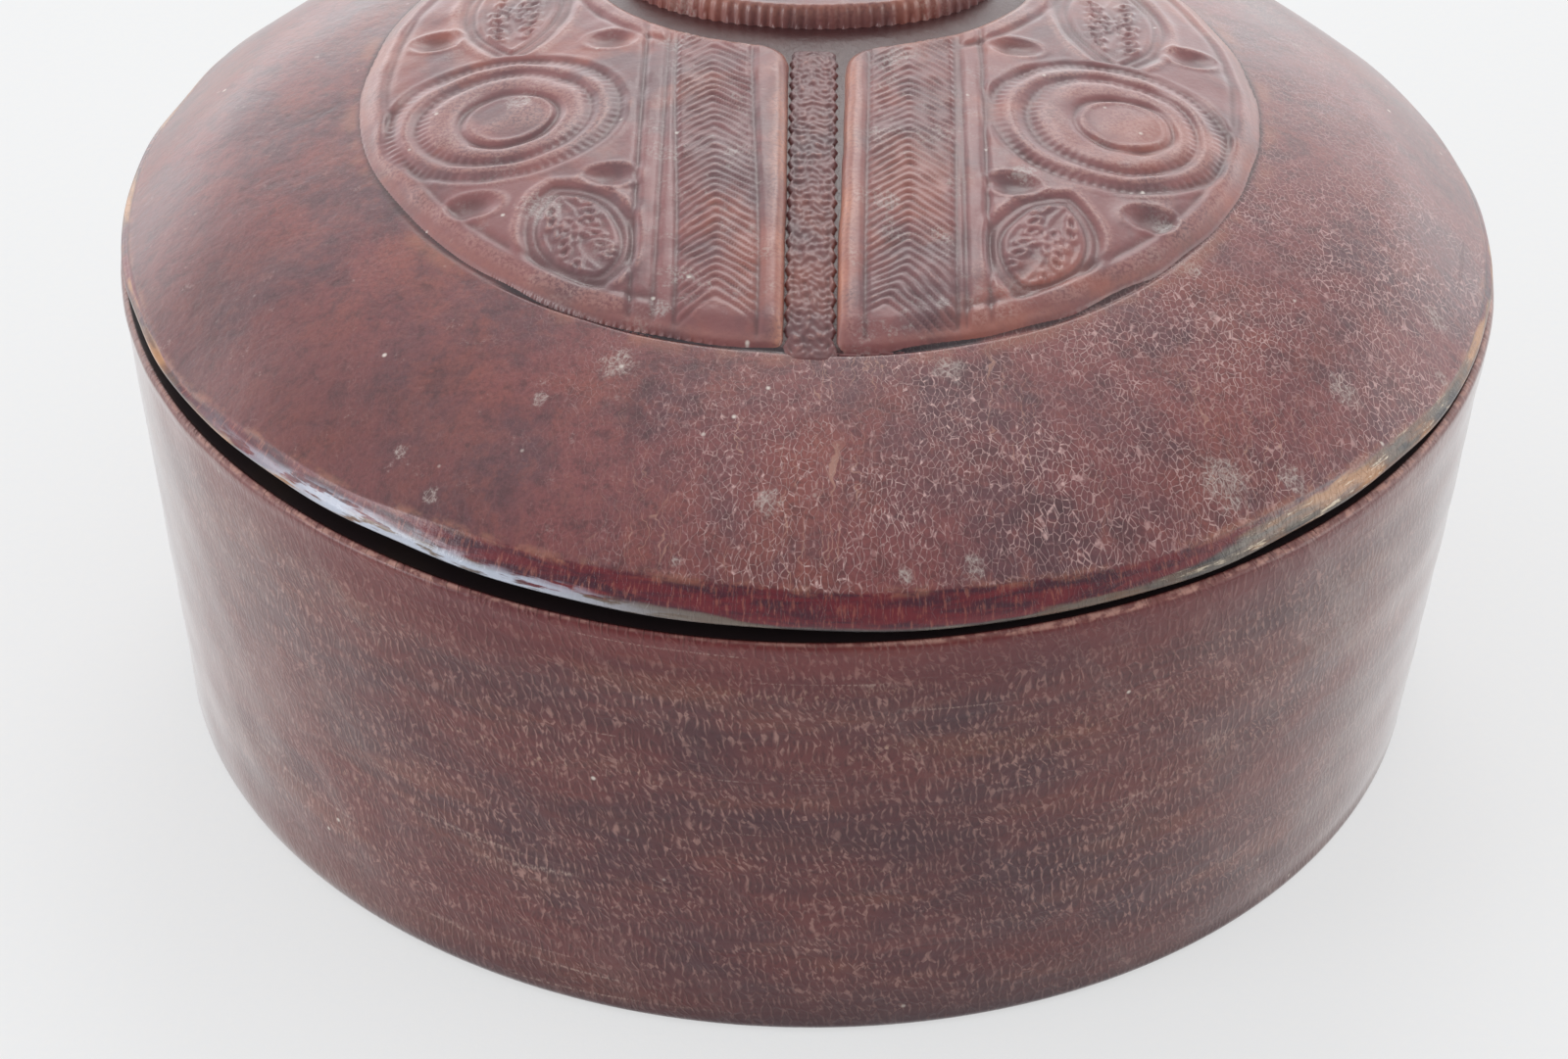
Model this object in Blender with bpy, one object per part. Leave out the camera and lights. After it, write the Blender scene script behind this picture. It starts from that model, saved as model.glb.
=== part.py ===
"""Round leather-covered box with a lift-off domed lid.

The box stands on the world origin, +Z up, with its front towards -Y. A board drum is
covered in thin leather outside and lined inside; a leatherboard collar stands up inside
the mouth, and the lid drops over it. The lid is a domed board shell with a leather skin,
a rawhide hoop in its edge, and stamped leather appliques on top.
"""

import math

import bmesh
import bpy

MM = 0.001
GAP = 0.3 * MM                      # glue line, kept open between touching pieces

# Box body
RIM_RADIUS = 75.5 * MM              # outside of the leather at the mouth
BASE_RADIUS = 71.4 * MM             # outside of the leather at the floor
BODY_HEIGHT = 54.2 * MM
SKIN = 1.2 * MM                     # outer leather
CORE = 3.0 * MM                     # wall board
LINING = 0.7 * MM
BASE_BOARD = 4.0 * MM
TURN_UNDER = 4.2 * MM               # width of the leather folded under the base
FOOT_ROUND = 1.0 * MM               # rounding of the bottom edge
COLLAR = 1.8 * MM
COLLAR_BOTTOM = 30.0 * MM
COLLAR_TOP = 58.6 * MM
COLLAR_LEAN = 2.8 * MM              # how far the collar's top edge is pared inwards

# Lid
LID_RADIUS = 75.0 * MM
LID_EDGE_Z = 55.2 * MM              # underside of the lid's edge when it is on
EDGE_BAND = 0.4 * MM                # upright part of the edge, under the dome
DOME_RISE = 20.2 * MM
DOME_POWER = 0.6
LID_SKIN = 1.0 * MM
LID_CORE = 1.6 * MM
LID_LINING = 0.5 * MM
LIP_RADIUS = 70.4 * MM              # inner edge of the leather folded under the lid's edge
HOOP_HEIGHT = 0.9 * MM

# Appliques on the dome
MEDALLION_RADIUS = 48.5 * MM
CHANNEL_X = 0.2 * MM                # middle of the channel between the two lobes
CHANNEL_HALF = 2.9 * MM
WELL_CENTRE = (0.0, 24.6 * MM)
WELL_HALF_WIDTH = 25.2 * MM
WELL_FRONT = 24.4 * MM              # reach of the well from its centre towards the front
WELL_BACK = 20.0 * MM
LOBE_LIFT = 1.4 * MM                # height of each lobe over the dome
STRIP_HALF = 2.5 * MM
STRIP_LIFT = 0.8 * MM
STRIP_FRONT = -49.8 * MM
STRIP_BACK = 0.4 * MM
BOSS_CENTRE = (-0.4 * MM, 23.2 * MM)
BOSS_HALF_WIDTH = 21.5 * MM
BOSS_HALF_DEPTH = 17.2 * MM
BOSS_LIFT = 2.8 * MM

SEGMENTS = 80                       # facets round each turned piece
DOME_STEPS = (0.0, 0.18, 0.36, 0.52, 0.66, 0.78, 0.87, 0.93, 0.965, 0.985, 0.996)

LEATHER_BROWN = ((0.133, 0.045, 0.032), 0.50)
LEATHER_RED = ((0.120, 0.028, 0.021), 0.42)
LEATHER_PANEL = ((0.150, 0.036, 0.026), 0.45)
LEATHER_DARK = ((0.090, 0.022, 0.018), 0.50)
BOARD = ((0.400, 0.290, 0.180), 0.85)
RAWHIDE = ((0.420, 0.270, 0.130), 0.65)
LINING_HIDE = ((0.230, 0.110, 0.060), 0.80)


def clear_scene():
    for item in list(bpy.data.objects):
        bpy.data.objects.remove(item, do_unlink=True)


def make_material(name, finish):
    colour, roughness = finish
    material = bpy.data.materials.new(name)
    material.use_nodes = True
    shader = material.node_tree.nodes["Principled BSDF"]
    shader.inputs["Base Color"].default_value = (*colour, 1.0)
    shader.inputs["Roughness"].default_value = roughness
    shader.inputs["Metallic"].default_value = 0.0
    return material


def finish_object(name, mesh_data, finish, parent):
    bmesh.ops.recalc_face_normals(mesh_data, faces=mesh_data.faces)
    mesh = bpy.data.meshes.new(name)
    mesh_data.to_mesh(mesh)
    mesh_data.free()
    for face in mesh.polygons:
        face.use_smooth = True
    mesh.set_sharp_from_angle(angle=math.radians(35))
    piece = bpy.data.objects.new(name, mesh)
    bpy.context.scene.collection.objects.link(piece)
    if finish is not None:
        mesh.materials.append(make_material(name, finish))
    piece.parent = parent
    return piece


def turned_mesh(profile):
    """Spin a closed (radius, height) outline about +Z."""
    data = bmesh.new()
    corners = [data.verts.new((radius, 0.0, height)) for radius, height in profile]
    edges = [data.edges.new((a, b)) for a, b in zip(corners, corners[1:] + corners[:1])]
    bmesh.ops.spin(
        data, geom=corners + edges, cent=(0, 0, 0), axis=(0, 0, 1),
        angle=math.tau, steps=SEGMENTS, use_merge=True)
    bmesh.ops.remove_doubles(data, verts=data.verts, dist=0.01 * MM)
    loose = [edge for edge in data.edges if not edge.link_faces]
    bmesh.ops.delete(data, geom=loose, context="EDGES")
    return data


def turned(name, profile, finish, parent):
    return finish_object(name, turned_mesh(profile), finish, parent)


# ---------------------------------------------------------------- box body

def wall_radius(height, inset=0.0):
    """Radius of the tapered outer wall, less an inset."""
    share = height / BODY_HEIGHT
    return BASE_RADIUS + (RIM_RADIUS - BASE_RADIUS) * share - inset


CORE_INSET = SKIN + GAP
LINING_INSET = CORE_INSET + CORE + GAP
COLLAR_INSET = LINING_INSET + LINING + GAP
CORE_TOP = BODY_HEIGHT - SKIN - GAP
FLOOR_Z = SKIN + GAP + BASE_BOARD + GAP + LINING


def wall_ring(inset, thickness, bottom, top):
    """Outline of a band that follows the tapered wall."""
    return [
        (wall_radius(top, inset), top),
        (wall_radius(bottom, inset), bottom),
        (wall_radius(bottom, inset + thickness), bottom),
        (wall_radius(top, inset + thickness), top),
    ]


def disc(radius, bottom, thickness):
    top = bottom + thickness
    return [(0.0, top), (radius, top), (radius, bottom), (0.0, bottom)]


def wall_leather_outline():
    """Outer leather: the wall, folded in over the rim and under the base."""
    rim = RIM_RADIUS
    round_over = 0.5 * MM
    fold_top = wall_radius(BODY_HEIGHT, COLLAR_INSET - 0.5 * MM)
    under = BASE_RADIUS - TURN_UNDER
    return [
        (fold_top, BODY_HEIGHT),
        (rim - round_over, BODY_HEIGHT),
        (rim, BODY_HEIGHT - round_over),
        (wall_radius(FOOT_ROUND), FOOT_ROUND),
        (BASE_RADIUS - 0.3 * FOOT_ROUND, 0.3 * FOOT_ROUND),
        (BASE_RADIUS - FOOT_ROUND, 0.0),
        (under, 0.0),
        (under, SKIN),
        (wall_radius(SKIN, SKIN), SKIN),
        (wall_radius(BODY_HEIGHT - SKIN, SKIN), BODY_HEIGHT - SKIN),
        (fold_top, BODY_HEIGHT - SKIN),
    ]


def collar_outline():
    """Collar band inside the mouth, its outer top edge pared to clear the dome."""
    pared_from = BODY_HEIGHT + 0.4 * MM
    outside = wall_radius(BODY_HEIGHT, COLLAR_INSET)
    inside = wall_radius(BODY_HEIGHT, COLLAR_INSET + COLLAR)
    return [
        (outside - COLLAR_LEAN, COLLAR_TOP),
        (outside, pared_from),
        (wall_radius(COLLAR_BOTTOM, COLLAR_INSET), COLLAR_BOTTOM),
        (wall_radius(COLLAR_BOTTOM, COLLAR_INSET + COLLAR), COLLAR_BOTTOM),
        (inside, BODY_HEIGHT - 6.0 * MM),
        (inside - COLLAR_LEAN * 0.7, COLLAR_TOP),
    ]


def build_body(parent):
    base_radius = BASE_RADIUS - TURN_UNDER - GAP
    board_radius = wall_radius(CORE_INSET, LINING_INSET)
    board_z = SKIN + GAP
    turned("wall_leather", wall_leather_outline(), LEATHER_BROWN, parent)
    turned("base_leather", disc(base_radius, 0.0, SKIN), LEATHER_DARK, parent)
    turned("wall_core", wall_ring(CORE_INSET, CORE, board_z, CORE_TOP), BOARD, parent)
    turned("base_board", disc(board_radius, board_z, BASE_BOARD), BOARD, parent)
    lining_z = board_z + BASE_BOARD + GAP
    turned("base_lining", disc(board_radius, lining_z, LINING), LINING_HIDE, parent)
    wall_lining = wall_ring(LINING_INSET, LINING, FLOOR_Z + GAP, CORE_TOP)
    turned("wall_lining", wall_lining, LINING_HIDE, parent)
    turned("mouth_collar", collar_outline(), LINING_HIDE, parent)


# ---------------------------------------------------------------- lid

def dome_height(radius):
    inside = max(0.0, 1.0 - (radius / LID_RADIUS) ** 2)
    return LID_EDGE_Z + EDGE_BAND + DOME_RISE * inside ** DOME_POWER


def dome_point(share, depth):
    """Point of the dome at a share of the lid's radius, moved inwards by depth."""
    radius = share * LID_RADIUS
    step = 0.01 * MM
    slope = (dome_height(radius + step) - dome_height(max(0.0, radius - step)))
    run = 2 * step if radius > step else step
    slope = slope / run if radius > 0.0 else 0.0
    length = math.hypot(1.0, slope)
    return radius + depth * slope / length, dome_height(radius) - depth / length


def dome_curve(depth, lowest=0.0):
    """The dome's curve from the middle outwards, cut off at a lowest height."""
    points = [dome_point(share, depth) for share in DOME_STEPS]
    kept = [point for point in points if point[1] > lowest]
    if len(kept) < len(points):
        inner, outer = kept[-1], points[len(kept)]
        share = (inner[1] - lowest) / (inner[1] - outer[1])
        kept.append((inner[0] + share * (outer[0] - inner[0]), lowest))
    return kept


def shell_outline(outer_depth, thickness, lowest):
    outer = dome_curve(outer_depth, lowest)
    inner = dome_curve(outer_depth + thickness, lowest)
    return outer + inner[::-1]


def lid_leather_outline():
    """Lid leather: the dome, the upright edge and the lip folded under it."""
    lip_top = LID_EDGE_Z + LID_SKIN
    outer = dome_curve(0.0)
    outer += [(LID_RADIUS, LID_EDGE_Z + EDGE_BAND), (LID_RADIUS - 0.2 * MM, LID_EDGE_Z)]
    lip = [(LIP_RADIUS, LID_EDGE_Z), (LIP_RADIUS, lip_top)]
    edge = [(LID_RADIUS - LID_SKIN - 0.3 * MM, lip_top)]
    inner = dome_curve(LID_SKIN, lip_top + 0.5 * MM)
    return outer + lip + edge + inner[::-1]


def hoop_outline():
    bottom = LID_EDGE_Z + LID_SKIN + GAP
    top = bottom + HOOP_HEIGHT
    outside = LID_RADIUS - LID_SKIN - 0.8 * MM
    return [
        (outside - 0.8 * MM, top),
        (outside, bottom),
        (LIP_RADIUS + 0.2 * MM, bottom),
        (LIP_RADIUS + 0.2 * MM, top),
    ]


def oval_points(centre, wide, front, back, first, last, count):
    """Points along an oval whose front and back halves differ; angles in degrees, 90 at the back."""
    points = []
    for index in range(count + 1):
        angle = math.radians(first + (last - first) * index / count)
        deep = back if math.sin(angle) > 0.0 else front
        points.append((centre[0] + wide * math.cos(angle), centre[1] + deep * math.sin(angle)))
    return points


def angle_at(centre, wide, x):
    """Angle in degrees, from +X towards the back, where an oval meets a line of constant x."""
    return math.degrees(math.acos((x - centre[0]) / wide))


def lobe_outline(side):
    """Medallion half on one side of the channel, less the well."""
    edge_x = CHANNEL_X + side * CHANNEL_HALF
    centre = (0.0, 0.0)
    radius = MEDALLION_RADIUS
    turn = angle_at(centre, radius, edge_x)
    well_turn = angle_at(WELL_CENTRE, WELL_HALF_WIDTH, edge_x)
    start = -turn if side > 0 else 360.0 - turn
    well_end = -well_turn if side > 0 else 360.0 - well_turn
    outer = oval_points(centre, radius, radius, radius, start, turn, 44)
    inner = oval_points(WELL_CENTRE, WELL_HALF_WIDTH, WELL_FRONT, WELL_BACK, well_turn, well_end, 30)
    return outer + inner


def prism(name, outline, parent):
    """Upright cutter with the given plan outline."""
    data = bmesh.new()
    corners = [data.verts.new((x, y, LID_EDGE_Z)) for x, y in outline]
    face = data.faces.new(corners)
    grown = bmesh.ops.extrude_face_region(data, geom=[face])
    raised = [item for item in grown["geom"] if isinstance(item, bmesh.types.BMVert)]
    bmesh.ops.translate(data, verts=raised, vec=(0, 0, 2 * DOME_RISE))
    cutter = finish_object(name, data, None, parent)
    cutter.hide_render = True
    cutter.display_type = "WIRE"
    return cutter


def applique(name, outline, lift, finish, parent):
    """Flat leather piece bent over the dome, cut to a plan outline."""
    steps = [share for share in DOME_STEPS if share < 0.8]
    outer = [dome_point(share, -lift) for share in steps]
    inner = [dome_point(share, -GAP) for share in steps]
    piece = turned(name, outer + inner[::-1], finish, parent)
    cut = piece.modifiers.new("outline", "BOOLEAN")
    cut.operation = "INTERSECT"
    cut.solver = "EXACT"
    cut.object = prism(name + ".outline", outline, parent)
    return piece


def build_lid(parent):
    lining_depth = LID_SKIN + GAP + LID_CORE + GAP
    shell_bottom = LID_EDGE_Z + LID_SKIN + GAP + HOOP_HEIGHT + GAP
    core = shell_outline(LID_SKIN + GAP, LID_CORE, shell_bottom)
    lining = shell_outline(lining_depth, LID_LINING, shell_bottom)
    turned("lid_leather", lid_leather_outline(), LEATHER_RED, parent)
    turned("lid_hoop", hoop_outline(), RAWHIDE, parent)
    turned("lid_core", core, BOARD, parent)
    turned("lid_lining", lining, LINING_HIDE, parent)
    applique("lobe_left", lobe_outline(-1), LOBE_LIFT, LEATHER_PANEL, parent)
    applique("lobe_right", lobe_outline(1), LOBE_LIFT, LEATHER_PANEL, parent)
    left = CHANNEL_X - STRIP_HALF
    right = CHANNEL_X + STRIP_HALF
    strip = [(left, STRIP_FRONT), (right, STRIP_FRONT), (right, STRIP_BACK), (left, STRIP_BACK)]
    applique("channel_strip", strip, STRIP_LIFT, LEATHER_DARK, parent)
    deep = BOSS_HALF_DEPTH
    boss = oval_points(BOSS_CENTRE, BOSS_HALF_WIDTH, deep, deep, 0.0, 352.5, 47)
    applique("lid_boss", boss, BOSS_LIFT, LEATHER_PANEL, parent)


def build():
    clear_scene()
    frame = bpy.data.objects.new("box_frame", None)
    bpy.context.scene.collection.objects.link(frame)
    lid_axis = bpy.data.objects.new("lid_axis", None)
    bpy.context.scene.collection.objects.link(lid_axis)
    lid_axis.parent = frame
    build_body(frame)
    build_lid(lid_axis)
    bpy.context.view_layer.update()


build()
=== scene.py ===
"""Looks of the round leather lidded box: skins, stamped panels, linings, light and camera."""
import math

import bpy
import numpy as np
from mathutils import Matrix, Vector


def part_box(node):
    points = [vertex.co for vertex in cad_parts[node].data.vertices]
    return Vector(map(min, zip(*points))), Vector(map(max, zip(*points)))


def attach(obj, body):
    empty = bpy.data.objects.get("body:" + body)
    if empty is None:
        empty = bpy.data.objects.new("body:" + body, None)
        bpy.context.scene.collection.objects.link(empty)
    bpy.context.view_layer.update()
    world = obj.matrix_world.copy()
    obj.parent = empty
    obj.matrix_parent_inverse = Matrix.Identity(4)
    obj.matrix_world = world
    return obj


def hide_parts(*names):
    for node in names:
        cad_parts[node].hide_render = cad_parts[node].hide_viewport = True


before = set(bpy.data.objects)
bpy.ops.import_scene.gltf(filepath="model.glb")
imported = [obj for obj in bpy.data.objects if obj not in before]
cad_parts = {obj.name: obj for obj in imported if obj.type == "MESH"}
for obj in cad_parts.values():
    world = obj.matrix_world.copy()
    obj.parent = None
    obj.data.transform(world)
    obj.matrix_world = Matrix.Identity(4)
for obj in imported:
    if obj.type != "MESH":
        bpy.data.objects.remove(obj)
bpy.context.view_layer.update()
MM = 0.001

ROOM_LOW = 2.4                            # brightness of the room at the horizon
ROOM_HIGH = 1.05                          # and overhead
ROOM_FRONT = 0.22                         # share of it behind the viewer
ROOM_RIGHT = 0.86                         # and to the right
PAPER_GLOW = 0.60                         # light the floor gives off itself

# name, place in m, height aimed at, width, power, colour
LAMPS = (("window_left", (-1.20, -0.55, 0.32), 0.05, 0.55, 5.0, (0.93, 0.97, 1.0)),
         ("window_right", (1.25, -0.20, 0.22), 0.05, 0.55, 2.4, (1.0, 0.97, 0.92)),
         ("ceiling", (0.10, 1.30, 1.40), 0.04, 0.9, 7.5, (1.0, 0.99, 0.97)))


# ---- sizes from the frame (mm)

def node_box(name):
    low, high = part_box(name)
    return np.array(low) / MM, np.array(high) / MM


BODY_HIGH = node_box("wall_leather")[1]
BASE_HIGH = node_box("base_leather")[1]
LID_LOW, LID_HIGH = node_box("lid_leather")
STRIP_LOW, STRIP_HIGH = node_box("channel_strip")
BOSS_LOW, BOSS_HIGH = node_box("lid_boss")
COLLAR_LOW, COLLAR_HIGH = node_box("mouth_collar")
LINING_LOW, LINING_HIGH = node_box("wall_lining")

RIM_RADIUS = BODY_HIGH[0]
RIM_Z = BODY_HIGH[2]
BASE_RADIUS = BASE_HIGH[0] + 4.5          # turned-under leather plus glue line
SKIN = 1.2
LIP = 5.3                                 # width of the hide folded over the rim
LINING_BACK = 4.95                        # insets from the wall's outside
LINING_FACE = 5.4
COLLAR_INSET = 5.8
COLLAR_THICK = 1.8
LID_RADIUS = LID_HIGH[0]
LID_EDGE_Z = LID_LOW[2]
DOME_RISE = LID_HIGH[2] - LID_EDGE_Z - 0.4
DOME_POWER = 0.6
MEDALLION_RADIUS = 48.5
WRAP_RADIUS = 73.5                        # where distances round the wall are measured
EDGE_WRAP = 74.0                          # and round the lid's edge
CHANNEL_X = (STRIP_LOW[0] + STRIP_HIGH[0]) / 2
WELL = (0.0, 24.6)                        # egg-shaped well behind the channel
WELL_WIDE = 25.2
WELL_FRONT = 24.4
WELL_BACK = 20.0
BOSS = ((BOSS_LOW[0] + BOSS_HIGH[0]) / 2, (BOSS_LOW[1] + BOSS_HIGH[1]) / 2)
BOSS_WIDE = (BOSS_HIGH[0] - BOSS_LOW[0]) / 2
BOSS_DEEP = (BOSS_HIGH[1] - BOSS_LOW[1]) / 2

TURNS = 720                               # steps round the two big skins
LINING_TURNS = 360
SHOULDER = 62.0                           # where the dome starts to turn down to its edge
HEM = 70.45                               # inner edge of the lip folded under the lid
AXIS_HOLE = 0.03                          # keeps the middle of a turned sheet from closing up
LOBE_EDGE_LIFT = 0.45                     # height of a panel at its pared outer edge
LOBE_LIFT = 1.15
BOSS_LIFT = 2.55

# piece: finish, body, node it stands for, slot
PIECES = {
    "body_skin": ("body", "box", "wall_leather", "body_leather"),
    "lining_of_wall": ("lining", "box", "wall_lining", "lining_hide"),
    "collar_band": ("lining", "box", "mouth_collar", "lining_hide"),
    "lid_skin": ("lid", "lid", "lid_leather", "lid_leather"),
    "lining_of_lid": ("lining", "lid", "lid_lining", "lining_hide"),
    "panel_left": ("panel", "lid", "lobe_left", "panel_leather"),
    "panel_right": ("panel", "lid", "lobe_right", "panel_leather"),
    "strip_stamped": ("strip", "lid", "channel_strip", "dark_leather"),
    "boss_cap": ("panel", "lid", "lid_boss", "panel_leather"),
}


# ---- shape functions

def smooth(low, high, value):
    t = np.clip((value - low) / (high - low), 0.0, 1.0)
    return t * t * (3.0 - 2.0 * t)


def groove(distance, width):
    """1 on the line, falling to 0 about a width away."""
    return np.exp(-(distance / width) ** 2)


def grooves(distance, *lines):
    """Sum of lines given as (height, place, width); negative heights sink in."""
    return sum(height * groove(distance - place, width) for height, place, width in lines)


def soft_min(a, b, blend):
    mix = np.clip(0.5 + 0.5 * (b - a) / blend, 0.0, 1.0)
    return b + (a - b) * mix - blend * mix * (1.0 - mix)


def waves(seed, angle, along, count, turns, pitch):
    """Smooth periodic unevenness about 0, roughly -1 to 1."""
    random = np.random.default_rng(seed)
    total = np.zeros(np.broadcast(angle, along).shape)
    for _ in range(count):
        times = random.integers(1, turns + 1)
        rate = random.uniform(-1.0, 1.0) * 2 * math.pi / pitch
        phase = random.uniform(0, 2 * math.pi)
        total += np.cos(times * angle + rate * along + phase)
    return total / math.sqrt(count)


def ring_waves(seed, turn, count, turns):
    """Unevenness that changes only round the box."""
    return waves(seed, turn, 0.0 * turn, count, turns, 1.0)


def plane_waves(seed, x, y, count, shortest, longest):
    """Smooth unevenness over the plan, roughly -1 to 1."""
    random = np.random.default_rng(seed)
    total = np.zeros(np.broadcast(x, y).shape)
    for _ in range(count):
        heading = random.uniform(0, math.pi)
        length = random.uniform(shortest, longest)
        phase = random.uniform(0, 2 * math.pi)
        run = x * math.cos(heading) + y * math.sin(heading)
        total += np.cos(2 * math.pi * run / length + phase)
    return total / math.sqrt(count)


def wall_radius(height):
    """Radius of the tapered wall's outside."""
    return BASE_RADIUS + (RIM_RADIUS - BASE_RADIUS) / RIM_Z * height


def dome(radius):
    inside = np.clip(1.0 - (radius / LID_RADIUS) ** 2, 0.0, 1.0)
    return LID_EDGE_Z + 0.4 + DOME_RISE * inside ** DOME_POWER


def dome_waves(x, y):
    """Slow hand-made unevenness of the dome."""
    radius = np.hypot(x, y)
    return 0.22 * plane_waves(4, x, y, 9, 38.0, 90.0) * (1.0 - smooth(58.0, 72.0, radius))


def round_the_lid(stops, angle):
    """Smooth value round the box from (degrees, value) stops; 0 is the front, positive to the right."""
    degrees = np.degrees(angle)
    result = np.zeros_like(degrees)
    for (a, low), (b, high) in zip(stops, stops[1:]):
        part = (degrees >= a) & (degrees <= b)
        result = np.where(part, low + (high - low) * smooth(a, b, degrees), result)
    return result


# gap between the lid's edge and the rim, and height of the upright edge band, mm
GAP_STOPS = ((-180, 1.1), (-120, 1.5), (-75, 2.1), (-35, 2.3), (-8, 1.5), (18, 0.6),
             (50, 1.0), (72, 0.7), (120, 0.8), (180, 1.1))
BAND_STOPS = ((-180, 2.4), (-100, 1.6), (-62, 1.5), (-40, 2.6), (-12, 3.9), (16, 3.7),
              (42, 2.9), (66, 1.7), (110, 1.8), (180, 2.4))


# ---- mesh helpers

def make_piece(name, points, faces, values):
    """One visual piece from points in mm, quads and named values at the points."""
    finish, body, node, slot = PIECES[name]
    mesh = bpy.data.meshes.new(name)
    mesh.vertices.add(len(points))
    mesh.vertices.foreach_set("co", (np.asarray(points, float) * MM).ravel())
    faces = np.asarray(faces)
    sides = faces.shape[1]
    mesh.loops.add(faces.size)
    mesh.loops.foreach_set("vertex_index", faces.ravel())
    mesh.polygons.add(len(faces))
    mesh.polygons.foreach_set("loop_start", np.arange(0, faces.size, sides))
    mesh.polygons.foreach_set("use_smooth", np.ones(len(faces), bool))
    mesh.update(calc_edges=True)
    for label, numbers in values.items():
        layer = mesh.attributes.new(label, "FLOAT", "POINT")
        layer.data.foreach_set("value", np.asarray(numbers, float))
    mesh.validate()
    piece = bpy.data.objects.new(name, mesh)
    bpy.context.scene.collection.objects.link(piece)
    mesh.materials.append(materials[finish])
    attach(piece, body)
    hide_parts(node)


def front_angle(x, y):
    """Angle round the box, 0 at the front, positive to the right."""
    return np.arctan2(x, -y)


def plan(radius, turn):
    """Plan position at a radius and an angle from the front."""
    return radius * np.sin(turn), -radius * np.cos(turn)


def ring_angles(steps):
    return (np.arange(steps) + 0.5) * 2 * math.pi / steps - math.pi


def turned(name, outline, shape, steps=TURNS):
    """Closed outline of (radius, height) spun round Z; shape(radius, angle, height) moves it."""
    outline = np.array(outline, float)
    radius = np.repeat(outline[:, 0][None, :], steps, 0)
    height = np.repeat(outline[:, 1][None, :], steps, 0)
    turn = np.repeat(ring_angles(steps)[:, None], len(outline), 1)
    radius, height = shape(radius, turn, height)
    ring_piece(name, radius, turn, height, {})


def ring_piece(name, radius, turn, height, values):
    """Closed ring of outlines, one row of points for each angle."""
    points = np.stack([*plan(radius, turn), height], -1)
    index = np.arange(radius.size).reshape(radius.shape)
    after = np.roll(index, -1, 0)
    below = np.roll(index, -1, 1)
    both = np.roll(after, -1, 1)
    faces = np.stack([index, below, both, after], -1).reshape(-1, 4)
    flat = {label: numbers.ravel() for label, numbers in values.items()}
    make_piece(name, points.reshape(-1, 3), faces, flat)


def line(start, end, spacing):
    """Evenly spaced points from start up to, but not at, end."""
    start, end = np.array(start, float), np.array(end, float)
    count = max(1, int(round(np.hypot(*(end - start)) / spacing)))
    share = np.arange(count)[:, None] / count
    return [tuple(point) for point in start + share * (end - start)]


def path(corners, spacing):
    """Closed run of straight lines, resampled."""
    points = []
    for start, end in zip(corners, corners[1:] + corners[:1]):
        points += line(start, end, spacing)
    return points


def arc(centre, radius, first, last, count):
    """Points of an arc in (radius, height), degrees from the +radius direction."""
    turn = np.radians(np.linspace(first, last, count))
    return [(centre[0] + radius * math.cos(a), centre[1] + radius * math.sin(a)) for a in turn]


# the four corners of each cell of a grid
CORNERS = [(slice(i, i - 1 or None), slice(j, j - 1 or None))
           for i, j in ((0, 0), (1, 0), (1, 1), (0, 1))]


def relief_sheet(name, low, high, pitch, edge, top, thickness):
    """Leather sheet over the dome, closed underneath. edge(x, y) is the distance inside its outline;
    top(x, y, edge) gives its height above the dome, its relief for dye and painted shade, and its wear."""
    xs = np.arange(low[0], high[0] + pitch, pitch)
    ys = np.arange(low[1], high[1] + pitch, pitch)
    x, y = np.meshgrid(xs, ys, indexing="ij")
    inside = edge(x, y)
    height, relief, wear = top(x, y, inside)
    ground = dome(np.hypot(x, y)) + dome_waves(x, y)
    keep = inside > -0.45
    cell = np.logical_and.reduce([keep[corner] for corner in CORNERS])
    used = np.zeros_like(keep)
    for corner in CORNERS:
        used[corner] |= cell
    total = int(used.sum())
    number = np.full(keep.shape, -1)
    number[used] = np.arange(total)
    upper = np.stack([x, y, ground + height], -1)[used]
    lower = np.stack([x, y, ground - thickness], -1)[used]
    numbers = [number[corner] for corner in CORNERS]
    quads = np.stack([corner[cell] for corner in numbers], -1)
    sides = []
    padded = np.pad(cell, 1)
    for side, (dx, dy) in enumerate(((0, -1), (1, 0), (0, 1), (-1, 0))):
        open_side = cell & ~np.roll(padded, (-dx, -dy), (0, 1))[1:-1, 1:-1]
        a, b = [numbers[k % 4][open_side] for k in (side, side + 1)]
        sides.append(np.stack([b, a, a + total, b + total], -1))
    faces = np.concatenate([quads, quads[:, ::-1] + total] + sides)
    values = {label: np.concatenate([value[used], np.zeros(total)])
              for label, value in (("relief", relief), ("wear", wear))}
    make_piece(name, np.concatenate([upper, lower]), faces, values)


# ---- material helpers

class Value:
    """Output of a node; arithmetic on it adds math nodes."""
    __array_ufunc__ = None

    def __init__(self, nodes, socket):
        self.nodes = nodes
        self.socket = socket

    def __add__(self, other):
        return self.nodes.math("ADD", self, other)

    def __sub__(self, other):
        return self.nodes.math("SUBTRACT", self, other)

    def __rsub__(self, other):
        return self.nodes.math("SUBTRACT", other, self)

    def __mul__(self, other):
        return self.nodes.math("MULTIPLY", self, other)

    def __truediv__(self, other):
        return self.nodes.math("DIVIDE", self, other)

    def __abs__(self):
        return self.nodes.math("ABSOLUTE", self)

    __radd__ = __add__
    __rmul__ = __mul__


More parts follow.
